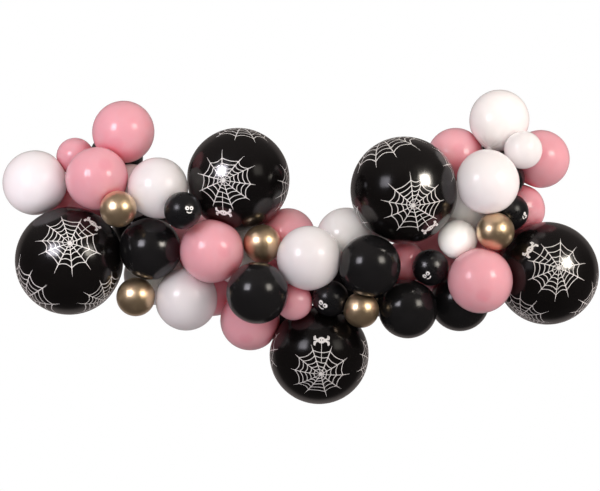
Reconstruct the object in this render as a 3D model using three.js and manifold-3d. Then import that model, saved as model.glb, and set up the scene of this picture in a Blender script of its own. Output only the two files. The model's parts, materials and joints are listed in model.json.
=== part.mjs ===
// Balloon garland in millimetres: +X along its length, +Z up, its back pressed on a wall at y = 0.
import * as THREE from 'three';
import { mergeVertices } from 'three/addons/utils/BufferGeometryUtils.js';
import Module from 'manifold-3d';

// The front elevation is what is seen from this far in front of the plane where its sizes are true.
const VIEW_DISTANCE = 8000;
const VIEW_PLANE_Y = -220;

// How far touching balloons press into each other, as a share of the smaller radius.
const SQUEEZE = 0.15;
const WALL_SQUEEZE = 0.06;
// Room that a large balloon keeps to the wall for its neck, as a share of its radius.
const LARGE_WALL_ROOM = 1.3;
const CONTACT_GAP = 0.35;
const SETTLE_START_Y = -900;
const SETTLE_STEP = 1;
// Once settled, balloons shift in depth so that they press on more of their neighbours.
const FIRM_PRESS = 0.03;
const GATHER_REACH = 70;
const GATHER_ROUNDS = 12;

// A balloon's profile, as shares of its radius, and angles in degrees from its crown.
const TAPER_START = 95;
const SHOULDER_ANGLE = 158;
const TAPER_STRETCH = 0.09;
const NECK_TIE = { radius: 0.055, along: 1.19 };
const NECK_LIP = { radius: 0.1, along: 1.26 };

// Facets round a balloon and down its body, by size.
const LARGE_RADIUS = 140;
const SMALL_RADIUS = 78;
const FACETS = {
  large: { round: 16, down: 8 },
  medium: { round: 11, down: 6 },
  small: { round: 9, down: 5 },
};

// Necks turn to the roomiest gap, leaning towards the balloons around them and away from the front.
const NECK_DIRECTIONS = 900;
const NECK_ROOM_WANTED = 14;
const NECK_CROWDING = 30;
const NECK_LEAN_INWARD = 14;
const NECK_LEAN_BACK = 24;
const NECK_LEAN_TURNED = 60;

// Necks turned on purpose: the way a taper shows, or out of sight behind their own balloon.
const NECKS_TURNED = {
  white_balloon_top: [0.1, 0.2, -1],
  white_mini_right: [-0.7, 0.5, -0.6],
  pink_mini_left: [0.7, 0.4, -0.6],
  pink_balloon_top_left: [0.1, 1, 0.2],
  black_balloon_left: [-0.6, 0.8, 0.1],
  black_balloon_centre: [0.15, 0.9, -0.4],
  white_balloon_centre: [0.1, 1, -0.2],
  gold_mini_centre_left: [0.1, 0.4, -0.9],
};

const ORIGIN_BALLOON = 'pink_balloon_behind_centre';

const FINISHES = {
  pink: { color: 0xe898ab, roughness: 0.32, metalness: 0 },
  white: { color: 0xf3edef, roughness: 0.34, metalness: 0 },
  black: { color: 0x1b1b1e, roughness: 0.36, metalness: 0 },
  web: { color: 0x100f10, roughness: 0.16, metalness: 0 },
  face: { color: 0x141416, roughness: 0.25, metalness: 0 },
  gold: { color: 0xa8946a, roughness: 0.22, metalness: 1 },
};

// In order of assembly from the wall outwards: name, finish, then the centre's distance to the right of
// the elevation's middle and above it, and the radius.
const BALLOONS = [
  ['pink_balloon_behind_left', 'pink', -752, 142, 97],
  ['black_balloon_behind_mid_left', 'black', -529, 66, 95],
  ['pink_balloon_behind_far_right', 'pink', 623, -8, 77],
  ['black_balloon_behind_left', 'black', -616, 293, 90],
  ['white_balloon_behind_left', 'white', -566, 183, 90],
  ['pink_balloon_behind_mid_left', 'pink', -360, 12, 94],
  ['white_balloon_behind_lower_left', 'white', -490, -99, 100],
  ['pink_balloon_behind_lower', 'pink', -291, -146, 90],
  ['white_balloon_behind_centre', 'white', -200, -36, 97],
  ['pink_balloon_behind_centre', 'pink', -34, -102, 94],
  ['black_mini_behind_lower', 'black', -64, -260, 62],
  ['black_balloon_behind_centre', 'black', 125, -150, 95],
  ['black_mini_behind_centre', 'black', 261, -176, 62],
  ['pink_balloon_behind_right', 'pink', 441, -48, 107],
  ['black_balloon_behind_right', 'black', 654, 244, 98],
  ['pink_balloon_upper_right', 'pink', 521, 299, 95],
  ['white_balloon_behind_right', 'white', 549, 129, 95],
  ['pink_balloon_centre_back', 'pink', -41, 33, 92],
  ['white_balloon_centre_back', 'white', 154, 28, 99],
  ['pink_balloon_right_back', 'pink', 735, 120, 86],
  ['black_balloon_right_back', 'black', 535, -187, 100],
  ['pink_balloon_lower', 'pink', -167, -251, 100],
  ['white_balloon_top', 'white', 668, 422, 100],
  ['pink_balloon_top_right', 'pink', 806, 290, 97],
  ['black_mini_behind_right', 'black', 692, 224, 61],
  ['pink_balloon_top_left', 'pink', -592, 380, 104],
  ['pink_mini_left', 'pink', -753, 298, 63],
  ['web_balloon_bottom', 'web', 64, -365, 166],
  ['web_balloon_upper_left', 'web', -207, 222, 172],
  ['web_balloon_upper_right', 'web', 349, 185, 180],
  ['web_balloon_left', 'web', -773, -51, 181],
  ['web_balloon_right', 'web', 828, -93, 172],
  ['pink_mini_right', 'pink', 348, -59, 75],
  ['white_balloon_far_left', 'white', -888, 210, 108],
  ['white_balloon_left', 'white', -477, 193, 102],
  ['pink_balloon_left', 'pink', -680, 225, 105],
  ['black_balloon_left', 'black', -500, -12, 103],
  ['white_balloon_lower_left', 'white', -381, -181, 104],
  ['black_balloon_lower_right', 'black', 361, -212, 99],
  ['pink_mini_centre', 'pink', -20, -189, 62],
  ['gold_mini_lower_left', 'gold', -550, -172, 65],
  ['gold_mini_left', 'gold', -609, 122, 62],
  ['face_mini_left', 'face', -393, 117, 63],
  ['gold_mini_centre_left', 'gold', -127, 8, 63],
  ['face_mini_centre', 'face', 102, -178, 61],
  ['gold_mini_centre_right', 'gold', 205, -216, 60],
  ['face_mini_right', 'face', 437, -74, 61],
  ['white_mini_right', 'white', 529, 21, 66],
  ['face_mini_far_right', 'face', 704, 112, 62],
  ['gold_mini_right', 'gold', 655, 47, 64],
  ['white_mini_top', 'white', 748, 320, 64],
  ['white_balloon_right', 'white', 629, 211, 106],
  ['black_balloon_lower', 'black', -143, -159, 104],
  ['pink_balloon_front', 'pink', -295, -18, 107],
  ['black_balloon_centre', 'black', 234, -68, 104],
  ['white_balloon_centre', 'white', 30, -42, 108],
  ['pink_balloon_right', 'pink', 604, -118, 109],
];

// Where a balloon seen at a place on the elevation really is, once its depth is known.
function atDepth(row, y) {
  const [name, finish, right, up, radius] = row;
  const spread = 1 + (y - VIEW_PLANE_Y) / VIEW_DISTANCE;
  const centre = new THREE.Vector3(right * spread, y, up * spread);
  return { name, finish, centre, radius: radius * spread };
}

function touchesWall(balloon) {
  const room = balloon.radius > LARGE_RADIUS ? LARGE_WALL_ROOM : 1 - WALL_SQUEEZE;
  return -balloon.centre.y < balloon.radius * room;
}

function touches(balloon, other) {
  const pressed = SQUEEZE * Math.min(balloon.radius, other.radius);
  return balloon.centre.distanceTo(other.centre) < balloon.radius + other.radius - pressed;
}

// Pushes a balloon back from the front until it meets one already in place or the wall.
function settle(row, placed) {
  let balloon = atDepth(row, SETTLE_START_Y);
  for (;;) {
    const next = atDepth(row, balloon.centre.y + SETTLE_STEP);
    if (touchesWall(next) || placed.some((other) => touches(next, other))) return balloon;
    balloon = next;
  }
}

// How much open space is left round a balloon, counting only neighbours that are near.
function openness(balloon, others) {
  return others.reduce((sum, other) => {
    const firm = FIRM_PRESS * Math.min(balloon.radius, other.radius);
    const apart = balloon.centre.distanceTo(other.centre) - balloon.radius - other.radius + firm;
    return sum + THREE.MathUtils.clamp(apart, 0, GATHER_REACH);
  }, 0);
}

// Slides a balloon along its line of sight, between its neighbours, to its snuggest place.
function gather(index, placed) {
  const row = BALLOONS[index];
  const others = placed.filter((other, i) => i !== index);
  const start = placed[index].centre.y;
  let best = placed[index];
  let least = openness(best, others);
  for (const step of [SETTLE_STEP, -SETTLE_STEP]) {
    for (let y = start + step; y > SETTLE_START_Y; y += step) {
      const next = atDepth(row, y);
      if (touchesWall(next) || others.some((other) => touches(next, other))) break;
      const left = openness(next, others);
      if (left < least) {
        least = left;
        best = next;
      }
    }
  }
  placed[index] = best;
}

// The flat between two pressed balloons, as a plane in front of the first one's centre.
function contactPlane(a, b) {
  const normal = b.centre.clone().sub(a.centre);
  const apart = normal.length();
  const along = (apart ** 2 + a.radius ** 2 - b.radius ** 2) / (2 * apart);
  const gap = apart - a.radius - b.radius;
  return { normal: normal.divideScalar(apart), offset: along - CONTACT_GAP / 2, gap };
}

function wallPlane(balloon) {
  return { normal: new THREE.Vector3(0, 1, 0), offset: -balloon.centre.y };
}

// The flats towards every neighbour that the balloon or its neck could reach.
function cellPlanes(balloon, balloons) {
  const reach = NECK_LIP.along * balloon.radius;
  const others = balloons.filter((other) => other !== balloon);
  return others.map((other) => contactPlane(balloon, other)).filter(({ gap }) => gap < reach);
}

// Evenly spread directions, by the golden angle.
function spreadDirections(count) {
  const goldenAngle = Math.PI * (3 - Math.sqrt(5));
  return Array.from({ length: count }, (_, i) => {
    const up = 1 - (2 * i + 1) / count;
    const out = Math.sqrt(1 - up * up);
    return new THREE.Vector3(out * Math.cos(i * goldenAngle), out * Math.sin(i * goldenAngle), up);
  });
}

function neckRoom(direction, balloon, planes) {
  const lip = NECK_LIP.radius * balloon.radius;
  const reach = NECK_LIP.along * balloon.radius;
  const rooms = planes.map(({ normal, offset }) => {
    const facing = normal.dot(direction);
    return offset - reach * facing - lip * Math.sqrt(Math.max(0, 1 - facing * facing));
  });
  return Math.min(...rooms);
}

// The way a neck would point if nothing were in its way.
function neckLean(balloon, planes) {
  const turned = NECKS_TURNED[balloon.name];
  if (turned) return new THREE.Vector3(...turned).setLength(NECK_LEAN_TURNED);
  const inward = planes.reduce((sum, { normal }) => sum.add(normal), new THREE.Vector3());
  return inward.setLength(NECK_LEAN_INWARD).add(new THREE.Vector3(0, NECK_LEAN_BACK, 0));
}

function neckDirection(balloon, planes, wall) {
  const lean = neckLean(balloon, planes);
  let best = { score: -Infinity };
  for (const direction of spreadDirections(NECK_DIRECTIONS)) {
    const room = neckRoom(direction, balloon, [...planes, wall]);
    const comfort = room < 0 ? NECK_CROWDING * room : Math.min(room, NECK_ROOM_WANTED);
    const score = lean.dot(direction) + comfort;
    if (score > best.score) best = { score, direction };
  }
  return best.direction;
}

// Half outline from the crown round the body and out along the tied neck.
function balloonProfile(radius, steps) {
  const points = [];
  for (let i = 0; i <= steps; i += 1) {
    const angle = (i / steps) * SHOULDER_ANGLE;
    const taper = Math.max(0, (angle - TAPER_START) / (SHOULDER_ANGLE - TAPER_START));
    const reach = radius * (1 + TAPER_STRETCH * taper * taper);
    const turn = THREE.MathUtils.degToRad(angle);
    points.push(new THREE.Vector2(i === 0 ? 0 : reach * Math.sin(turn), -reach * Math.cos(turn)));
  }
  for (const ring of [NECK_TIE, NECK_LIP]) {
    points.push(new THREE.Vector2(ring.radius * radius, ring.along * radius));
  }
  points.push(new THREE.Vector2(0, NECK_LIP.along * radius));
  return points;
}

// Draws each corner in towards the balloon's centre until no flat is crossed.
function pressFlat(geometry, planes) {
  const corners = geometry.attributes.position;
  const corner = new THREE.Vector3();
  for (let i = 0; i < corners.count; i += 1) {
    corner.fromBufferAttribute(corners, i);
    let keep = 1;
    for (const { normal, offset } of planes) {
      const along = normal.dot(corner);
      if (along > offset) keep = Math.min(keep, offset / along);
    }
    corners.setXYZ(i, corner.x * keep, corner.y * keep, corner.z * keep);
  }
}

// Corners closer than this are one corner.
const SAME_CORNER = 1e-3;
const wasm = await Module();
wasm.setup();

function toSolid(geometry) {
  const bare = geometry.clone();
  bare.deleteAttribute('normal');
  bare.deleteAttribute('uv');
  const merged = mergeVertices(bare, SAME_CORNER);
  const index = merged.index.array;
  const kept = [];
  for (let i = 0; i < index.length; i += 3) {
    const [a, b, c] = [index[i], index[i + 1], index[i + 2]];
    if (a !== b && b !== c && c !== a) kept.push(a, b, c);
  }
  const vertProperties = new Float32Array(merged.attributes.position.array);
  const triVerts = new Uint32Array(kept);
  return new wasm.Manifold(new wasm.Mesh({ numProp: 3, vertProperties, triVerts }));
}

function toGeometry(solid) {
  const { vertProperties, triVerts } = solid.getMesh();
  const geometry = new THREE.BufferGeometry();
  geometry.setAttribute('position', new THREE.BufferAttribute(new Float32Array(vertProperties), 3));
  geometry.setIndex(new THREE.BufferAttribute(new Uint32Array(triVerts), 1));
  geometry.computeVertexNormals();
  return geometry;
}

// Cuts off what would stand behind the wall, which leaves a flat pad.
function cutAtWall(geometry, mesh, radius) {
  const [width, thickness] = [4 * radius, 2 * radius];
  const slab = new THREE.BoxGeometry(width, thickness, width);
  slab.translate(mesh.position.x, thickness / 2, mesh.position.z);
  slab.applyMatrix4(mesh.matrix.clone().invert());
  return toGeometry(toSolid(geometry).subtract(toSolid(slab)));
}

function sizeOf(radius) {
  if (radius > LARGE_RADIUS) return 'large';
  return radius < SMALL_RADIUS ? 'small' : 'medium';
}

function balloonMesh(balloon, balloons) {
  const planes = cellPlanes(balloon, balloons);
  const neck = neckDirection(balloon, planes, wallPlane(balloon));
  const facets = FACETS[sizeOf(balloon.radius)];
  const geometry = new THREE.LatheGeometry(balloonProfile(balloon.radius, facets.down), facets.round);
  const mesh = new THREE.Mesh(geometry, new THREE.MeshStandardMaterial(FINISHES[balloon.finish]));
  mesh.name = balloon.name;
  mesh.position.copy(balloon.centre);
  mesh.quaternion.setFromUnitVectors(new THREE.Vector3(0, 1, 0), neck);
  mesh.updateMatrix();
  const turnBack = mesh.quaternion.clone().invert();
  planes.forEach(({ normal }) => normal.applyQuaternion(turnBack));
  pressFlat(geometry, planes);
  const reach = NECK_LIP.along * balloon.radius;
  if (reach > -balloon.centre.y) mesh.geometry = cutAtWall(geometry, mesh, balloon.radius);
  return mesh;
}

const placed = [];
for (const row of BALLOONS) placed.push(settle(row, placed));
for (let round = 0; round < GATHER_ROUNDS; round += 1) {
  BALLOONS.forEach((row, index) => gather(index, placed));
}

const garland = new THREE.Group();
garland.name = 'balloon_garland';
const middle = placed.find(({ name }) => name === ORIGIN_BALLOON).centre;
garland.position.set(-middle.x, 0, -middle.z);
for (const balloon of placed) garland.add(balloonMesh(balloon, placed));

export default garland;
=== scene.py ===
# Balloon garland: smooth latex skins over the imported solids, printed webs and faces, soft studio light.
import json
import math

import bpy
import numpy as np
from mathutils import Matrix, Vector


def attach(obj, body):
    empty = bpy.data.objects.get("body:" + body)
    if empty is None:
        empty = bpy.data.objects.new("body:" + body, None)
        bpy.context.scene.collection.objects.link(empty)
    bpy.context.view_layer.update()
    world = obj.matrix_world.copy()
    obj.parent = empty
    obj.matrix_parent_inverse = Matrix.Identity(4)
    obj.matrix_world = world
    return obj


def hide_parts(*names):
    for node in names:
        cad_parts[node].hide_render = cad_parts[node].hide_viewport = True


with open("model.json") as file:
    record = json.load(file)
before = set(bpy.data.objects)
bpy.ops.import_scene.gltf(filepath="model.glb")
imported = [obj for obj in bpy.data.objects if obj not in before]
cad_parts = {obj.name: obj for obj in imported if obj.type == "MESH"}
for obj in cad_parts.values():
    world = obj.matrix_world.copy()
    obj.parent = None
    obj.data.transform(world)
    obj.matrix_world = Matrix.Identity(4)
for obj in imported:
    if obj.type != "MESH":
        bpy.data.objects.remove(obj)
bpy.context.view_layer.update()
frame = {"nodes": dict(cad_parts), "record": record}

scene = bpy.context.scene
scene.view_settings.view_transform = "Standard"
print("frame loaded:", len(frame["nodes"]), "balloons")


# camera: square on to the wall, far off with a long lens
cameraSetup = {
    "aim": (0.0346, -0.22, 0.1037),  # middle of the picture
    "distance": 8.0,
    "pictureWidth": 2.01,  # metres across the picture at the aim
    "sensor": 36.0,
}


def addCamera(setup):
    data = bpy.data.cameras.new("camera")
    data.sensor_width = setup["sensor"]
    data.lens = setup["sensor"] * setup["distance"] / setup["pictureWidth"]
    camera = bpy.data.objects.new("camera", data)
    camera.location = Vector(setup["aim"]) - Vector((0, setup["distance"], 0))
    camera.rotation_euler = (math.radians(90), 0, 0)
    scene.collection.objects.link(camera)
    scene.camera = camera


addCamera(cameraSetup)
print("camera set, lens", round(scene.camera.data.lens, 1), "mm")


# small helpers for building node trees
def feed(tree, socket, value):
    if isinstance(value, bpy.types.NodeSocket):
        tree.links.new(value, socket)
    else:
        socket.default_value = value


def mathNode(tree, operation, *values, clamp=False):
    node = tree.nodes.new("ShaderNodeMath")
    node.operation = operation
    node.use_clamp = clamp
    for socket, value in zip(node.inputs, values):
        feed(tree, socket, value)
    return node.outputs[0]


def vectorNode(tree, operation, *values):
    node = tree.nodes.new("ShaderNodeVectorMath")
    node.operation = operation
    for socket, value in zip(node.inputs, values):
        feed(tree, socket, value)
    return node.outputs["Value" if operation in ("DOT_PRODUCT", "LENGTH") else "Vector"]


def scaled(tree, vector, factor):
    node = tree.nodes.new("ShaderNodeVectorMath")
    node.operation = "SCALE"
    feed(tree, node.inputs[0], vector)
    feed(tree, node.inputs["Scale"], factor)
    return node.outputs["Vector"]


# smooth step from start to end as the value goes from low to high
def ranged(tree, value, low, high, start=0.0, end=1.0):
    node = tree.nodes.new("ShaderNodeMapRange")
    node.interpolation_type = "SMOOTHSTEP"
    settings = {"Value": value, "From Min": low, "From Max": high, "To Min": start, "To Max": end}
    for label, setting in settings.items():
        feed(tree, node.inputs[label], setting)
    return node.outputs[0]


def blended(tree, factor, first, second):
    node = tree.nodes.new("ShaderNodeMix")
    node.data_type = "RGBA"
    feed(tree, node.inputs[0], factor)
    feed(tree, node.inputs[6], first)  # the node's colour sockets are 6 and 7, and 2 for the result
    feed(tree, node.inputs[7], second)
    return node.outputs[2]


def noise(tree, place, scale, detail=3.0, roughness=0.55):
    node = tree.nodes.new("ShaderNodeTexNoise")
    feed(tree, node.inputs["Vector"], place)
    node.inputs["Scale"].default_value = scale
    node.inputs["Detail"].default_value = detail
    node.inputs["Roughness"].default_value = roughness
    return node.outputs[0]


def ramp(tree, value, stops):
    node = tree.nodes.new("ShaderNodeValToRGB")
    elements = node.color_ramp.elements
    while len(elements) < len(stops):
        elements.new(0.5)  # all are moved below
    for element, (position, grey) in zip(elements, stops):
        element.position = position
        element.color = (grey, grey, grey, 1)
    feed(tree, node.inputs[0], value)
    return node.outputs[0]


def opened(name):
    material = bpy.data.materials.new(name)
    material.use_nodes = True
    tree = material.node_tree
    tree.nodes.clear()
    output = tree.nodes.new("ShaderNodeOutputMaterial")
    skin = tree.nodes.new("ShaderNodeBsdfPrincipled")
    tree.links.new(skin.outputs[0], output.inputs[0])
    return material, tree, skin


# shape: round body, slight pear towards the neck, gathered neck, knot and rolled lip
skinShape = {
    "taperStart": 95.0,  # degrees from the crown
    "shoulder": 158.0,
    "taperStretch": 0.09,
    "neckSteps": 12,
    "neckCurve": ((0.408, 1.011), (0.236, 1.112), (0.066, 1.118), (0.058, 1.184)),  # shares of the radius
    "knotAndLip": (
        (0.083, 1.194), (0.092, 1.205), (0.086, 1.217), (0.068, 1.225), (0.072, 1.234),
        (0.092, 1.245), (0.101, 1.252), (0.102, 1.258), (0.094, 1.262), (0.074, 1.252), (0.04, 1.236),
    ),
    "lipEnd": 1.232,  # middle of the closed lip, in radii
    "folds": 11,
    "foldDepth": 0.16,
    "foldMix": (0.4, 4),  # share of a second wave, and how many more folds it has
    "foldsFrom": (0.97, 0.2),  # where the folds begin and how long they take to deepen, in radii
    "foldsTo": (1.31, 0.1),
    "foldShift": 1.7,  # turn of the folds from one balloon to the next
    "pressSharpness": 42.0,  # higher makes the edges of the pressed flats crisper
    "contactGap": 0.00035,
    "reach": 1.27,  # how far a neck and its lip go from the centre, in radii
    "largeFrom": 0.14,  # metres of radius
    "smallTo": 0.076,
    "rings": {"large": (136, 84), "medium": (80, 50), "small": (60, 40)},  # corners round, then rings
}


def sizeName(radius):
    if radius > skinShape["largeFrom"]:
        return "large"
    return "small" if radius < skinShape["smallTo"] else "medium"


# the round part of a packed balloon is the sphere through four corners that most others lie on too
sphereSearch = {
    "seed": 7,
    "tries": 700,
    "flatness": 1e-7,  # sets of four nearly in one plane are passed over
    "radii": (0.045, 0.2),
    "closeness": 0.00012,
    "neckFrom": 1.17,  # corners further out than this, in radii, are the neck's
}


def fitSphere(node):
    corners = np.array([v.co[:] for v in node.data.vertices])
    corners = np.unique(np.round(corners, decimals=6), axis=0)
    picker = np.random.RandomState(sphereSearch["seed"])
    least, most = sphereSearch["radii"]
    best = (0, None, None)
    for _ in range(sphereSearch["tries"]):
        four = corners[picker.choice(len(corners), 4, replace=False)]
        system = np.column_stack([2 * four, np.ones(4)])
        if abs(np.linalg.det(system)) < sphereSearch["flatness"]:
            continue
        answer = np.linalg.solve(system, (four ** 2).sum(1))
        centre = answer[:3]
        square = answer[3] + centre @ centre
        if not least ** 2 < square < most ** 2:
            continue
        radius = math.sqrt(square)
        misses = abs(np.linalg.norm(corners - centre, axis=1) - radius)
        count = (misses < sphereSearch["closeness"]).sum()
        if count > best[0]:
            best = (count, centre, radius)
    _, centre, radius = best
    away = corners - centre
    distances = np.linalg.norm(away, axis=1)
    tip = away[distances > sphereSearch["neckFrom"] * radius]
    furthest = away[distances.argmax()]
    neck = Vector(tip.mean(0) if len(tip) else furthest).normalized()
    return {"centre": centre, "radius": radius, "neck": neck}


# flats of one balloon: the wall's and those halfway into each neighbour it overlaps
def pressPlanes(name, balloons):
    me = balloons[name]
    planes = [(np.array((0.0, 1.0, 0.0)), -me["centre"][1])]  # the wall
    for other, you in balloons.items():
        between = you["centre"] - me["centre"]
        apart = np.linalg.norm(between)
        if other == name or apart > skinShape["reach"] * me["radius"] + you["radius"]:
            continue
        along = (apart ** 2 + me["radius"] ** 2 - you["radius"] ** 2) / (2 * apart)
        planes.append((between / apart, along - skinShape["contactGap"] / 2))
    return planes


def skinProfile(radius, rings):
    neckSteps = skinShape["neckSteps"]
    bodySteps = rings - neckSteps - len(skinShape["knotAndLip"])
    turn = np.linspace(0, skinShape["shoulder"], bodySteps + 1)[1:]
    taper = (turn - skinShape["taperStart"]) / (skinShape["shoulder"] - skinShape["taperStart"])
    taper = np.clip(taper, 0, None)
    reach = 1 + skinShape["taperStretch"] * taper ** 2
    turn = np.radians(turn)
    body = np.column_stack([reach * np.sin(turn), -reach * np.cos(turn)])
    t = np.linspace(0, 1, neckSteps + 1)[1:, None]
    a, b, c, d = np.array(skinShape["neckCurve"])
    neck = a * (1 - t) ** 3 + 3 * b * t * (1 - t) ** 2 + 3 * c * t ** 2 * (1 - t) + d * t ** 3
    return radius * np.vstack([body, neck, np.array(skinShape["knotAndLip"])])


# skin in its own axes: centre at zero, neck along Z
def skinPoints(radius, rings, around, phase):
    profile = skinProfile(radius, rings)
    angle = np.linspace(0, 2 * math.pi, around, endpoint=False)
    out = profile[:, :1]
    along = profile[:, 1:]
    start, fadeIn = skinShape["foldsFrom"]
    end, fadeOut = skinShape["foldsTo"]
    gather = np.clip((along / radius - start) / fadeIn, 0, 1)
    gather = gather * np.clip((end - along / radius) / fadeOut, 0, 1)
    folds = skinShape["folds"]
    share, more = skinShape["foldMix"]
    wave = np.cos(folds * angle + phase) + share * np.cos((folds + more) * angle - 2 * phase)
    swell = out * (1 + skinShape["foldDepth"] * gather * wave)
    along = np.broadcast_to(along, swell.shape)
    points = np.stack([swell * np.cos(angle), swell * np.sin(angle), along], axis=-1)
    crown = np.array([[0, 0, -radius]])
    lipEnd = np.array([[0, 0, skinShape["lipEnd"] * radius]])
    return np.vstack([crown, points.reshape(-1, 3), lipEnd])


def skinFaces(rings, around):
    faces = []
    for j in range(around):
        faces.append((0, 1 + (j + 1) % around, 1 + j))
    for i in range(rings - 1):
        low = 1 + i * around
        for j in range(around):
            k = (j + 1) % around
            faces.append((low + j, low + k, low + around + k, low + around + j))
    low = 1 + (rings - 1) * around
    for j in range(around):
        faces.append((low + j, low + (j + 1) % around, low + around))
    return faces


def pressFlat(points, planes):
    power = skinShape["pressSharpness"]
    total = np.ones(len(points))
    for normal, offset in planes:
        total += np.clip(points @ normal / offset, 0, None) ** power
    return points * (total ** (-1 / power))[:, None]


def addSkin(name, balloons, order):
    me = balloons[name]
    around, rings = skinShape["rings"][sizeName(me["radius"])]
    points = skinPoints(me["radius"], rings, around, skinShape["foldShift"] * order)
    neckward = points[:, 2] / np.linalg.norm(points, axis=1)
    turn = np.array(Vector((0, 0, 1)).rotation_difference(me["neck"]).to_matrix())
    points = pressFlat(points @ turn.T, pressPlanes(name, balloons))
    mesh = bpy.data.meshes.new(name + "_skin")
    mesh.from_pydata(points.tolist(), [], skinFaces(rings, around))
    mesh.polygons.foreach_set("use_smooth", [True] * len(mesh.polygons))
    mark = mesh.attributes.new("neckward", "FLOAT", "POINT")  # 1 at the neck, -1 at the crown
    mark.data.foreach_set("value", neckward)
    mesh.update()
    piece = bpy.data.objects.new(name + "_skin", mesh)
    piece.location = me["centre"]
    scene.collection.objects.link(piece)
    return piece


balloons = {name: fitSphere(node) for name, node in frame["nodes"].items()}
print("round bodies found:", len(balloons))
pieces = {name: addSkin(name, balloons, order) for order, name in enumerate(sorted(balloons))}
print("skins made:", sum(len(piece.data.polygons) for piece in pieces.values()), "faces")


# marks that all the latex has, and the painted shade between balloons: noise scales, and from which value
# to which each comes in
latexDetail = {
    "cloudScale": 11.0,
    "cloudRange": (0.3, 0.75),
    "grainScale": 160.0,
    "grainRange": (0.35, 0.7),
    "grainShare": 0.15,  # of the mottle
    "neckRange": (0.86, 0.99),  # of the neckward mark
    "crownRange": (-0.955, -0.998),
    # painted shade: reach and samples of the occlusion test, the openness over which the dark red fades
    # in, and how much of it
    "paintedCreviceShadeReach": 0.12,
    "paintedCreviceShadeRange": (0.62, 0.1),
    "paintedCreviceShadeShare": 0.85,
    "paintedCreviceShadeSamples": 6,
    "smearScale": 26.0,
    "smearRange": (0.3, 0.7),
    "smearRoughness": (0.88, 1.12),  # shares of the look's roughness
    "bumpStrength": 0.05,
    "bumpHeight": 0.0004,
    "wearScale": 240.0,
    "wearRange": (0.25, 0.6),
    "wearInk": 0.86,  # ink left where a print is worn
}


# latex: one look for each colour
pinkLatex = {
    "colour": (0.79, 0.402, 0.46),
    "deep": (0.62, 0.10, 0.17),  # thicker rubber at the neck and crown
    "roughness": 0.16,
    "specular": 0.6,
    "subsurface": 0.72,
    "subsurfaceReach": (0.07, 0.045, 0.045),  # metres that light spreads through skin and air
    "mottle": 0.06,
    "paintedCreviceShade": (0.80, 0.19, 0.25),  # painted shade between the balloons: dark red, standing in for pink reflected in pink
    "neckDepth": 0.8,
    "crownDepth": 0.14,
}
whiteLatex = {
    "colour": (0.90, 0.853, 0.873),
    "deep": (0.80, 0.735, 0.74),
    "roughness": 0.18,
    "specular": 0.65,
    "subsurface": 0.8,
    "subsurfaceReach": (0.07, 0.065, 0.065),
    "mottle": 0.08,
    "neckDepth": 0.7,
    "crownDepth": 0.22,
}
blackLatex = {
    "colour": (0.0095, 0.0092, 0.0098),
    "deep": (0.004, 0.004, 0.0045),
    "roughness": 0.19,
    "specular": 0.5,
    "mottle": 0.4,
    "neckDepth": 0.8,
    "crownDepth": 0.2,
}


def latexColour(tree, look, place):
    spread = noise(tree, place, latexDetail["cloudScale"], detail=4.0)
    fine = noise(tree, place, latexDetail["grainScale"], detail=2.0)
    cloud = ranged(tree, spread, *latexDetail["cloudRange"], 0.0, look["mottle"])
    grainDepth = look["mottle"] * latexDetail["grainShare"]
    grain = ranged(tree, fine, *latexDetail["grainRange"], 0.0, grainDepth)
    mark = tree.nodes.new("ShaderNodeAttribute")
    mark.attribute_name = "neckward"
    neckward = mark.outputs["Fac"]
    neck = ranged(tree, neckward, *latexDetail["neckRange"], 0.0, look["neckDepth"])
    crown = ranged(tree, neckward, *latexDetail["crownRange"], 0.0, look["crownDepth"])
    ends = mathNode(tree, "ADD", neck, crown)
    depth = mathNode(tree, "ADD", mathNode(tree, "ADD", cloud, grain), ends, clamp=True)
    colour = blended(tree, depth, (*look["colour"], 1), (*look["deep"], 1))
    # painted shade and painted reflection: the more a spot is closed in by neighbours, the more its
    # colour turns to the dark red
    if "paintedCreviceShade" in look:
        occlusionProbe = tree.nodes.new("ShaderNodeAmbientOcclusion")
        occlusionProbe.samples = latexDetail["paintedCreviceShadeSamples"]
        occlusionProbe.inputs["Distance"].default_value = latexDetail["paintedCreviceShadeReach"]
        openness = occlusionProbe.outputs["AO"]
        paintedShade = ranged(tree, openness, *latexDetail["paintedCreviceShadeRange"], 0.0, latexDetail["paintedCreviceShadeShare"])
        colour = blended(tree, paintedShade, colour, (*look["paintedCreviceShade"], 1))
    return colour, fine


def latexFinish(tree, skin, look, place, fine):
    skin.inputs["Specular IOR Level"].default_value = look["specular"]
    if "subsurface" in look:
        skin.inputs["Subsurface Weight"].default_value = look["subsurface"]
        skin.inputs["Subsurface Radius"].default_value = look["subsurfaceReach"]
        skin.inputs["Subsurface Scale"].default_value = 1.0
    smear = noise(tree, place, latexDetail["smearScale"])
    glossy, dull = [share * look["roughness"] for share in latexDetail["smearRoughness"]]
    rough = ranged(tree, smear, *latexDetail["smearRange"], glossy, dull)
    tree.links.new(rough, skin.inputs["Roughness"])
    bump = tree.nodes.new("ShaderNodeBump")
    bump.inputs["Strength"].default_value = latexDetail["bumpStrength"]
    bump.inputs["Distance"].default_value = latexDetail["bumpHeight"]
    tree.links.new(fine, bump.inputs["Height"])
    tree.links.new(bump.outputs[0], skin.inputs["Normal"])


def latexMaterial(name, look):
    material, tree, skin = opened(name)
    place = tree.nodes.new("ShaderNodeTexCoord").outputs["Object"]
    colour, fine = latexColour(tree, look, place)
    tree.links.new(colour, skin.inputs["Base Color"])
    latexFinish(tree, skin, look, place, fine)
    return material


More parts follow.
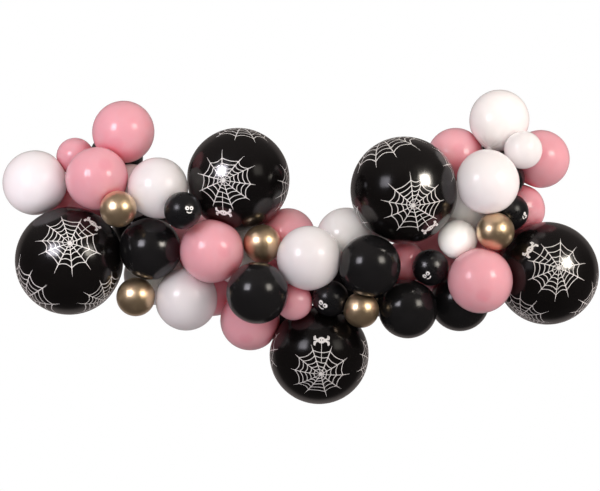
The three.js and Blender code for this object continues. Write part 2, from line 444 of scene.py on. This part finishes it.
# metallic balloons: satin chrome in champagne gold
goldLatex = {
    "colour": (0.80, 0.605, 0.385),
    "deep": (0.58, 0.42, 0.25),
    "roughness": 0.37,
    "specular": 0.5,
    "mottle": 0.3,
    "neckDepth": 0.7,
    "crownDepth": 0.15,
    "metal": 0.94,
    "coat": 0.6,  # clear gloss over the pigment, for the bright middle of the highlights
    "coatRoughness": 0.08,
}


def goldMaterial(name, look):
    material = latexMaterial(name, look)
    skin = material.node_tree.nodes["Principled BSDF"]
    skin.inputs["Metallic"].default_value = look["metal"]
    skin.inputs["Coat Weight"].default_value = look["coat"]
    skin.inputs["Coat Roughness"].default_value = look["coatRoughness"]
    return material


# spider web print: spokes and tips in degrees round and out from the hub, clockwise from the thread
webPattern = {
    "spokes": (21.5, 62.0, 96.4, 132.2, 165.8, 211.3, 237.4, 272.1, 302.6, 339.6),
    "corners": (28.3, 30.8, 26.2, 26.0, 25.3, 26.7, 30.3, 30.4, 31.5, 28.9),  # outer ring at each spoke
    "tips": (34.6, 36.4, 35.8, 35.3, 35.8, 36.0, 39.0, 36.2, 37.2, 35.6),
    "rings": (0.19, 0.34, 0.53, 0.76, 1.0),  # shares of the outer ring
    "crowding": (1.06, 0.26, 260.0),  # the rings lie closer to the edge on one side of the hub
    "sag": 0.13,
    "line": 0.0080,  # half width, in radii
    "innerLine": (0.62, 12.0),  # share of that at the hub, and the degrees out where it is full
    "tipLine": 0.3,
    "knots": (0.5, 0.2),  # how much wider a ring gets at a spoke, and over what part of the gap
    "hub": 0.042,
    "spiderAt": 39.2,
    "threadFrom": 13.0,
    "threadLine": 0.0045,
    "bodySize": (0.077, 0.065),
    "legs": (
        ((0.066, 0.016), (0.120, 0.042), (0.128, 0.100)),
        ((0.072, 0.004), (0.146, 0.030), (0.150, 0.086)),
        ((0.072, -0.004), (0.148, -0.020), (0.150, -0.070)),
        ((0.066, -0.016), (0.122, -0.036), (0.132, -0.086)),
    ),
    "legLine": 0.0115,
    "eyes": (0.023, 0.005, 0.011),  # aside, up and radius
}


# each large balloon's webs, the one with the spider first: degrees right and up from facing the viewer,
# then the way the thread runs, clockwise from up, and the size where it is not the usual one
webBalloons = {
    "web_balloon_left": (
        (6.0, 18.9, 42.8), (-76.3, -40.1, 147.5, 1.28), (73, -46, 32), (-174, -19, 90),
    ),
    "web_balloon_upper_left": (
        (-14.9, -2.7, 187.0), (37.4, 83.6, 247.3, 1.08), (86, -7, 144), (165, 3, 30),
    ),
    "web_balloon_upper_right": (
        (7.5, -17.3, 142.7), (-85.1, 66.2, 176.7, 1.41), (-102, -33, 12), (90, 28, 110), (-173, 17, 200),
    ),
    "web_balloon_bottom": ((1.7, -20.2, 1.3), (89, -6, 10), (-92, 3, 345), (-178, 20, 150)),
    "web_balloon_right": ((7.0, 6.5, 306.9), (-58, -52, 297), (80, -37, 103), (-173, -7, 60)),
}
webLatex = {
    "colour": (0.0045, 0.0038, 0.0038),
    "deep": (0.0015, 0.0012, 0.0012),
    "roughness": 0.18,
    "specular": 0.5,
    "mottle": 0.4,
    "neckDepth": 0.6,
    "crownDepth": 0.1,
    "ink": (0.95, 0.92, 0.92),
    "lineInk": 0.84,  # the fine lines print thinner than the spider
}


# where the edge of the ink begins and ends, in half widths
inkEdges = {
    "stroke": (0.75, 1.2),
    "ring": (0.7, 1.15),
    "hub": (0.8, 1.2),
    "thread": (0.75, 1.3),
    "disc": (0.9, 1.1),
    "body": (0.93, 1.05),
}


def inked(tree, gap, width, kind):
    begins, ends = inkEdges[kind]
    return ranged(tree, gap, width * begins, width * ends, 1.0, 0.0)


def stroke(tree, place, start, end, width):
    a = Vector((*start, 0))
    b = Vector((*end, 0))
    run = b - a
    offset = vectorNode(tree, "SUBTRACT", place, a)
    share = vectorNode(tree, "DOT_PRODUCT", offset, run)
    share = mathNode(tree, "DIVIDE", share, run.length_squared, clamp=True)
    gap = vectorNode(tree, "LENGTH", vectorNode(tree, "SUBTRACT", offset, scaled(tree, run, share)))
    return inked(tree, gap, width, "stroke")


def disc(tree, place, centre, radius):
    gap = vectorNode(tree, "LENGTH", vectorNode(tree, "SUBTRACT", place, (*centre, 0)))
    return inked(tree, gap, radius, "disc")


def joined(tree, masks):
    whole = masks[0]
    for mask in masks[1:]:
        whole = mathNode(tree, "MAXIMUM", whole, mask)
    return whole


# node group of one print: takes a direction on the balloon and the print's axes, gives a mask of its ink
def printTree(name):
    tree = bpy.data.node_groups.new(name, "ShaderNodeTree")
    for axis in ("Direction", "Middle", "Side", "Ahead"):
        tree.interface.new_socket(axis, in_out="INPUT", socket_type="NodeSocketVector")
    tree.interface.new_socket("Size", in_out="INPUT", socket_type="NodeSocketFloat")
    tree.interface.new_socket("Mask", in_out="OUTPUT", socket_type="NodeSocketFloat")
    inputs = tree.nodes.new("NodeGroupInput").outputs
    mask = tree.nodes.new("NodeGroupOutput").inputs["Mask"]
    return tree, inputs, mask


# parts of the direction that go to the print's side, ahead of it and towards its middle
def printParts(tree, inputs):
    axes = [inputs[label] for label in ("Side", "Ahead", "Middle")]
    return [vectorNode(tree, "DOT_PRODUCT", inputs["Direction"], axis) for axis in axes]


# angle out from the print's middle, in radians
def angleOut(tree, facing, size):
    angle = mathNode(tree, "ARCCOSINE", mathNode(tree, "MINIMUM", facing, 1.0))
    return mathNode(tree, "DIVIDE", angle, size)


def flatPlace(tree, aside, ahead):
    node = tree.nodes.new("ShaderNodeCombineXYZ")
    feed(tree, node.inputs[0], aside)
    feed(tree, node.inputs[1], ahead)
    return node.outputs[0]


def makeWebGroup(pattern):
    tree, inputs, mask = printTree("webPrint")
    side, ahead, facing = printParts(tree, inputs)
    out = angleOut(tree, facing, inputs["Size"])
    around = mathNode(tree, "ARCTAN2", side, ahead)
    turns = mathNode(tree, "FRACT", mathNode(tree, "DIVIDE", around, 2 * math.pi))
    spokes = pattern["spokes"]
    count = len(spokes)
    lead = spokes[0] / (spokes[0] + 360 - spokes[-1])  # part of the thread's gap after the thread
    stops = [(0.0, 1 - lead)]
    stops += [(angle / 360, k + 1) for k, angle in enumerate(spokes)]
    stops += [(1.0, count + 1 - lead)]
    top = count + 1  # a ramp holds values up to one
    steps = ramp(tree, turns, [(position, value / top) for position, value in stops])
    steps = mathNode(tree, "MULTIPLY", steps, top)
    nearest = mathNode(tree, "ROUND", steps)
    aside = mathNode(tree, "ABSOLUTE", mathNode(tree, "SUBTRACT", steps, nearest))

    def roundRamp(values):
        start = values[0] * (1 - lead) + values[-1] * lead
        marks = [(0.0, start)]
        marks += [(angle / 360, value) for angle, value in zip(spokes, values)]
        marks += [(1.0, start)]
        # in shares of a right angle, since a ramp holds values up to one
        shares = ramp(tree, turns, [(position, value / 90) for position, value in marks])
        return mathNode(tree, "MULTIPLY", shares, math.pi / 2)

    corner = roundRamp(pattern["corners"])
    tip = roundRamp(pattern["tips"])
    line = pattern["line"]
    hubShare, full = pattern["innerLine"]
    inner = ranged(tree, out, 0.0, math.radians(full), hubShare, 1.0)
    outer = ranged(tree, out, corner, tip, line, line * pattern["tipLine"])
    width = mathNode(tree, "MULTIPLY", outer, inner)
    arc = mathNode(tree, "MULTIPLY", aside, 2 * math.pi / count)
    arc = mathNode(tree, "MULTIPLY", arc, mathNode(tree, "SINE", out))
    spokeLine = inked(tree, mathNode(tree, "DIVIDE", arc, width), 1.0, "stroke")
    spokeLine = mathNode(tree, "MULTIPLY", spokeLine, mathNode(tree, "LESS_THAN", out, tip))

    # rings hang slack between the spokes and crowd outwards on one side
    bow = mathNode(tree, "MULTIPLY", aside, mathNode(tree, "SUBTRACT", 1.0, aside))
    bow = mathNode(tree, "MULTIPLY", bow, 4.0)  # one halfway between spokes
    shrink = mathNode(tree, "SUBTRACT", 1.0, mathNode(tree, "MULTIPLY", bow, pattern["sag"]))
    ringSize = mathNode(tree, "MULTIPLY", corner, shrink)
    even, swing, crowded = pattern["crowding"]
    lean = mathNode(tree, "COSINE", mathNode(tree, "SUBTRACT", around, math.radians(crowded)))
    power = mathNode(tree, "DIVIDE", 1.0, mathNode(tree, "MULTIPLY_ADD", lean, swing, even))
    wider, knotReach = pattern["knots"]
    thick = ranged(tree, aside, 0.0, knotReach, line * (1 + wider), line)
    ringLines = []
    for ring in pattern["rings"]:
        ringOut = mathNode(tree, "MULTIPLY", mathNode(tree, "POWER", ring, power), ringSize)
        gap = mathNode(tree, "ABSOLUTE", mathNode(tree, "SUBTRACT", out, ringOut))
        ringLines.append(inked(tree, mathNode(tree, "DIVIDE", gap, thick), 1.0, "ring"))
    hub = inked(tree, out, pattern["hub"], "hub")
    feed(tree, mask, joined(tree, [spokeLine, hub] + ringLines))
    return tree


def makeSpiderGroup(pattern):
    tree, inputs, mask = printTree("spiderPrint")
    side, ahead, facing = printParts(tree, inputs)
    out = angleOut(tree, facing, inputs["Size"])
    away = math.radians(pattern["spiderAt"])
    inFront = mathNode(tree, "GREATER_THAN", ahead, 0.0)
    across = mathNode(tree, "ABSOLUTE", side)  # so both halves of the spider come out alike
    thread = inked(tree, across, pattern["threadLine"], "thread")
    thread = mathNode(tree, "MULTIPLY", thread, inFront)
    started = mathNode(tree, "GREATER_THAN", out, math.radians(pattern["threadFrom"]))
    thread = mathNode(tree, "MULTIPLY", thread, started)
    thread = mathNode(tree, "MULTIPLY", thread, mathNode(tree, "LESS_THAN", out, away))
    place = flatPlace(tree, across, mathNode(tree, "SUBTRACT", out, away))
    wide, high = pattern["bodySize"]
    body = vectorNode(tree, "LENGTH", vectorNode(tree, "DIVIDE", place, (wide, high, 1)))
    body = inked(tree, body, 1.0, "body")
    eyeAside, eyeUp, eyeSize = pattern["eyes"]
    eye = disc(tree, place, (eyeAside, eyeUp), eyeSize)
    body = mathNode(tree, "SUBTRACT", body, eye, clamp=True)
    legs = []
    for hip, knee, foot in pattern["legs"]:
        legs.append(stroke(tree, place, hip, knee, pattern["legLine"]))
        legs.append(stroke(tree, place, knee, foot, pattern["legLine"]))
    spider = mathNode(tree, "MULTIPLY", joined(tree, [body] + legs), inFront)
    feed(tree, mask, joined(tree, [thread, spider]))
    return tree


# direction facing the viewer, turned right and up, with the clockwise side and the way ahead at that spot
def printAxes(right, up, turn, size=1.0):
    right, up, turn = math.radians(right), math.radians(up), math.radians(turn)
    middle = Vector((math.sin(right) * math.cos(up), -math.cos(right) * math.cos(up), math.sin(up)))
    upward = (Vector((0, 0, 1)) - middle * middle.z).normalized()
    rightward = upward.cross(middle)
    ahead = upward * math.cos(turn) + rightward * math.sin(turn)
    side = rightward * math.cos(turn) - upward * math.sin(turn)
    return {"Middle": middle, "Side": side, "Ahead": ahead, "Size": size}


def placePrint(tree, group, direction, axes):
    node = tree.nodes.new("ShaderNodeGroup")
    node.node_tree = group
    feed(tree, node.inputs["Direction"], direction)
    for label, value in axes.items():
        node.inputs[label].default_value = value
    return node.outputs["Mask"]


def printedMaterial(name, look, makeMask):
    material, tree, skin = opened(name)
    place = tree.nodes.new("ShaderNodeTexCoord").outputs["Object"]
    colour, fine = latexColour(tree, look, place)
    direction = vectorNode(tree, "NORMALIZE", place)
    mask = makeMask(tree, direction)
    wear = noise(tree, place, latexDetail["wearScale"])
    worn = ranged(tree, wear, *latexDetail["wearRange"], latexDetail["wearInk"], 1.0)
    colour = blended(tree, mathNode(tree, "MULTIPLY", mask, worn), colour, (*look["ink"], 1))
    tree.links.new(colour, skin.inputs["Base Color"])
    latexFinish(tree, skin, look, place, fine)
    return material


webGroup = makeWebGroup(webPattern)
spiderGroup = makeSpiderGroup(webPattern)


def webMaterial(name):
    webs = [printAxes(*web) for web in webBalloons[name]]

    def makeMask(tree, direction):
        lines = joined(tree, [placePrint(tree, webGroup, direction, axes) for axes in webs])
        thin = mathNode(tree, "MULTIPLY", lines, webLatex["lineInk"])
        return joined(tree, [thin, placePrint(tree, spiderGroup, direction, webs[0])])

    return printedMaterial(name + "_print", webLatex, makeMask)


# small black balloons: a plain pair of round eyes and a short smile
facePattern = {
    "eyes": ((-0.110, 0.05, 0.098), (0.110, 0.05, 0.098)),  # aside, up and radius
    "pupils": ((-0.094, 0.038, 0.033), (0.094, 0.038, 0.033)),
    "smile": ((-0.106, -0.13), (-0.038, -0.168), (0.038, -0.168), (0.106, -0.13)),
    "smileLine": 0.026,
}
faceBalloons = {  # degrees right and up from facing the viewer, turn, and size
    "face_mini_left": (24.0, 3.4, 0.0, 1.15),
    "face_mini_centre": (-29.0, -19.5, 40.0, 1.35),
    "face_mini_right": (-15.6, -25.7, 320.0, 1.2),
    "face_mini_far_right": (50.0, -12.0, 42.0),
}
faceLatex = {
    "colour": (0.0075, 0.0075, 0.0085),
    "deep": (0.0025, 0.0025, 0.003),
    "roughness": 0.30,
    "specular": 0.5,
    "mottle": 0.4,
    "neckDepth": 0.8,
    "crownDepth": 0.2,
    "ink": (0.95, 0.93, 0.925),
}


def makeFaceGroup(pattern):
    tree, inputs, mask = printTree("facePrint")
    side, ahead, facing = printParts(tree, inputs)
    place = vectorNode(tree, "DIVIDE", flatPlace(tree, side, ahead), inputs["Size"])
    eyes = joined(tree, [disc(tree, place, (x, y), r) for x, y, r in pattern["eyes"]])
    pupils = joined(tree, [disc(tree, place, (x, y), r) for x, y, r in pattern["pupils"]])
    eyes = mathNode(tree, "SUBTRACT", eyes, pupils, clamp=True)
    smile = pattern["smile"]
    strokes = [stroke(tree, place, a, b, pattern["smileLine"]) for a, b in zip(smile, smile[1:])]
    near = mathNode(tree, "GREATER_THAN", facing, 0.0)
    feed(tree, mask, mathNode(tree, "MULTIPLY", joined(tree, [eyes] + strokes), near))
    return tree


faceGroup = makeFaceGroup(facePattern)


def faceMaterial(name):
    axes = printAxes(*faceBalloons[name])

    def makeMask(tree, direction):
        return placePrint(tree, faceGroup, direction, axes)

    return printedMaterial(name + "_print", faceLatex, makeMask)


shared = {
    "pink_latex": latexMaterial("pinkLatex", pinkLatex),
    "white_latex": latexMaterial("whiteLatex", whiteLatex),
    "black_latex": latexMaterial("blackLatex", blackLatex),
    "gold_latex": goldMaterial("goldLatex", goldLatex),
}
for part in frame["record"]["subparts"]:
    name = part["node"]
    slot = part["material_slot"]
    piece = pieces[name]
    if slot == "web_print_latex":
        material = webMaterial(name)
    elif slot == "small_print_latex":
        material = faceMaterial(name)
    else:
        material = shared[slot]
    piece.data.materials.append(material)
    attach(piece, "root")
    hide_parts(name)
print("materials given:", len(bpy.data.materials))


# studio: pale floor well below, white surroundings, two soft boxes at the front and wide fills
studio = {
    "floorHeight": -1.4,
    "floorRadius": 4.0,
    "floorSides": 96,
    "floorColour": (0.82, 0.82, 0.82),
    "floorPatches": {"scale": 3.0, "from": 0.3, "to": 0.7, "tone": 0.96},
    "floorRoughness": 0.7,
    "roomColour": (1.0, 0.87, 0.83),
    "around": 0.05,  # how bright the room looks to the balloons
    "behind": 0.28,
    "behindRange": (0.5, 0.7),  # of the direction's part into the wall
    "behindShade": (0.85, 1.0, 1.0, 0.75),  # darker straight behind
    "behindHeight": (-0.6, 0.6, 1.0, 0.5),
    "above": 0.12,
    "aboveRange": (0.1, 0.9),
    "boxes": {
        "left": {
            "at": (-2.17, -2.95, 1.3), "aim": (-0.45, -0.25, 0.45), "size": 1.3, "spread": 75,
            "power": 8, "colour": (0.94, 0.91, 1.0),
            "shares": (  # how much of it some balloons get, where a star stands for any ending
                (2.2, "web_balloon_left"),
                (4.5, "web_balloon_upper_left"),
                (0.6, "web_balloon_upper_right"),
                (0.6, "web_balloon_bottom"),
                (0.09, "web_balloon_right"),
                (2.1, "gold_mini*"),
                (2.2, "face_mini_right"),
            ),
        },
        "right": {
            "at": (4.83, -4.75, 2.5), "aim": (0.65, -0.25, 0.45), "size": 2.5, "spread": 55,
            "power": 15, "colour": (1.0, 0.93, 0.83),
            "shares": (
                (1.4, "web_balloon_left"),
                (0.12, "web_balloon_upper_left"),
                (8, "web_balloon_upper_right"),
                (0.15, "web_balloon_bottom"),
                (6, "web_balloon_right"),
                (2.1, "gold_mini*"),
                (2.2, "black_balloon_left", "face_mini_right"),
            ),
        },
    },
    "layerGap": 0.004,  # metres between a light and the copies of it for some balloons
    "fills": {  # wide and even, they leave no highlights
        "below": {
            "at": (0.3, -4.6, -4.2), "size": 6.0, "power": 125, "colour": (1.0, 0.95, 1.0),
            "shares": (
                (2.3, "white_balloon_far_left", "white_mini_right"),
                (1.4, "white_balloon_right", "pink_balloon_top_left"),
                (1.4, "web_balloon_upper_left"),
            ),
        },
        "above": {
            "at": (0.0, -2.5, 5.5), "size": 6.0, "power": 145, "colour": (1.0, 0.99, 0.92),
            "shares": ((0.6, "white_balloon_left"),),
        },
        "fromLeft": {"at": (-6.0, -0.6, 0.4), "size": 6.0, "power": 160, "colour": (1.0, 0.88, 0.88)},
        "fromRight": {"at": (6.0, -0.6, 0.4), "size": 6.0, "power": 285, "colour": (1.0, 0.90, 0.85)},
        "front": {
            "at": (0.0, -7.0, 0.4), "size": 5.0, "power": 105, "colour": (1.0, 1.0, 0.85),
            "shares": (
                (2.8, "white_mini_right"),
                (1.5, "white_balloon_centre_back", "white_balloon_behind*", "pink_balloon_centre_back"),
                (1.4, "web_balloon_left"),
                (1.95, "pink_balloon_upper_right", "white_balloon_top"),
                (1.3, "pink_balloon_front", "pink_balloon_right"),
                (0.6, "white_balloon_centre", "white_balloon_lower_left", "white_balloon_far_left"),
            ),
        },
        "behind": {"at": (0.0, 5.0, 0.3), "size": 8.0, "power": 48, "colour": (0.95, 1.0, 0.98)},
    },
}


def addFloor(setup):
    mesh = bpy.data.meshes.new("floor")
    radius = setup["floorRadius"]
    turns = np.linspace(0, 2 * math.pi, setup["floorSides"], endpoint=False)
    rim = [(radius * math.cos(turn), radius * math.sin(turn), 0) for turn in turns]
    mesh.from_pydata(rim, [], [tuple(range(len(rim)))])
    floor = bpy.data.objects.new("floor", mesh)
    floor.location = (0, 0, setup["floorHeight"])
    floor.visible_glossy = False
    floor.visible_diffuse = False
    floor.visible_shadow = False
    scene.collection.objects.link(floor)
    material, tree, skin = opened("paleFloor")
    place = tree.nodes.new("ShaderNodeTexCoord").outputs["Object"]
    patches = setup["floorPatches"]
    tone = ranged(tree, noise(tree, place, patches["scale"]), patches["from"], patches["to"])
    pale = setup["floorColour"]
    darker = [channel * patches["tone"] for channel in pale]
    colour = blended(tree, tone, (*pale, 1), (*darker, 1))
    tree.links.new(colour, skin.inputs["Base Color"])
    skin.inputs["Roughness"].default_value = setup["floorRoughness"]
    mesh.materials.append(material)


def addWorld(setup):
    world = bpy.data.worlds.new("studio")
    scene.world = world
    world.use_nodes = True
    tree = world.node_tree
    tree.nodes.clear()
    output = tree.nodes.new("ShaderNodeOutputWorld")
    seen = tree.nodes.new("ShaderNodeBackground")
    seen.inputs[0].default_value = (1, 1, 1, 1)  # what the camera sees, plain white
    room = tree.nodes.new("ShaderNodeBackground")
    room.inputs[0].default_value = (*setup["roomColour"], 1)
    way = tree.nodes.new("ShaderNodeSeparateXYZ")
    tree.links.new(tree.nodes.new("ShaderNodeTexCoord").outputs["Generated"], way.inputs[0])
    # the wall round the garland shows as a dim band along the rims, brighter low down
    inward = way.outputs[1]
    upward = way.outputs[2]
    near = ranged(tree, inward, *setup["behindRange"], 0.0, setup["behind"])
    shaded = ranged(tree, inward, *setup["behindShade"])
    lower = ranged(tree, upward, *setup["behindHeight"])
    behind = mathNode(tree, "MULTIPLY", mathNode(tree, "MULTIPLY", near, shaded), lower)
    above = ranged(tree, upward, *setup["aboveRange"], 0.0, setup["above"])
    level = mathNode(tree, "ADD", mathNode(tree, "ADD", behind, above), setup["around"])
    tree.links.new(level, room.inputs[1])
    mix = tree.nodes.new("ShaderNodeMixShader")
    tree.links.new(tree.nodes.new("ShaderNodeLightPath").outputs["Is Camera Ray"], mix.inputs[0])
    tree.links.new(room.outputs[0], mix.inputs[1])
    tree.links.new(seen.outputs[0], mix.inputs[2])
    tree.links.new(mix.outputs[0], output.inputs[0])


# a name that ends in a star stands for all names that begin so
def named(balloon, wanted):
    if wanted.endswith("*"):
        return balloon.startswith(wanted[:-1])
    return balloon == wanted


# a light falls on all balloons, on some of them only, or on all without some
def addLight(name, box, highlights, shading=True, share=1.0, only=(), without=(), layer=0):
    data = bpy.data.lights.new(name, "AREA")
    data.shape = "SQUARE"
    data.size = box["size"]
    data.energy = box["power"] * share
    data.color = box["colour"]
    data.spread = math.radians(box.get("spread", 180))
    light = bpy.data.objects.new(name, data)
    way = Vector(box["at"]) - Vector(box.get("aim", cameraSetup["aim"]))
    # lights in one plane would hide each other from reflections, so each lies a little further back
    light.location = Vector(box["at"]) + way.normalized() * layer * studio["layerGap"]
    light.rotation_euler = way.to_track_quat("Z", "Y").to_euler()
    light.visible_glossy = highlights
    light.visible_diffuse = shading
    light.visible_camera = False
    scene.collection.objects.link(light)
    if only or without:
        lit = bpy.data.collections.new(name)
        for balloon, piece in pieces.items():
            if any(named(balloon, wanted) for wanted in only or without):
                lit.objects.link(piece)
        for member in lit.collection_objects:
            member.light_linking.link_state = "INCLUDE" if only else "EXCLUDE"
        light.light_linking.receiver_collection = lit


# balloons with a share below one get less of the light, above one a stronger highlight or more fill
def addBox(name, box, highlights):
    shares = box.get("shares", ())
    dimmed = [balloon for share, *balloons in shares if share < 1 for balloon in balloons]
    addLight(name, box, highlights, without=dimmed)
    for number, (share, *balloons) in enumerate(shares):
        extra = share > 1  # these have the main light as well
        shading = not (extra and highlights)
        amount = share - 1 if extra else share
        label = name + "_share_" + str(number)
        addLight(label, box, highlights, shading, amount, only=balloons, layer=number + 1)


addFloor(studio)
addWorld(studio)
for name, box in studio["boxes"].items():
    addBox("softbox_" + name, box, highlights=True)
for name, box in studio["fills"].items():
    addBox("fill_" + name, box, highlights=False)
print("studio lit by", len(studio["boxes"]), "soft boxes and", len(studio["fills"]), "fills")
